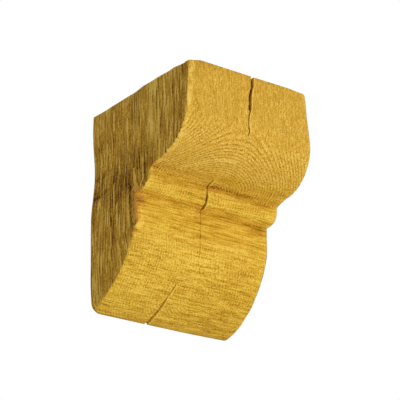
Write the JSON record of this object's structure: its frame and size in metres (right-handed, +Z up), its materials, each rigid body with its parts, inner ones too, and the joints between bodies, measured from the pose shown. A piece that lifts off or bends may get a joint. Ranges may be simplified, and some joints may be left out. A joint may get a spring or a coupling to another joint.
{
  "type": "beam bracket",
  "caption": "Carved timber block with rounded lobes parted by a bead, which stands out from a wall and carries the end of a ceiling beam.",
  "frame": {"origin": "centre of the flat back, which lies against the wall", "axes": "+Z up, -Y out from the wall towards the viewer, +X to the right of someone facing the carved face"},
  "size_m": [0.1492, 0.15, 0.192],
  "materials": {
    "stained_timber": "honey-coloured stain on hand-hewn timber, matt, with darker weathered sides"
  },
  "bodies": {
    "root": {"bracket": "stained_timber"}
  },
  "joints": []
}
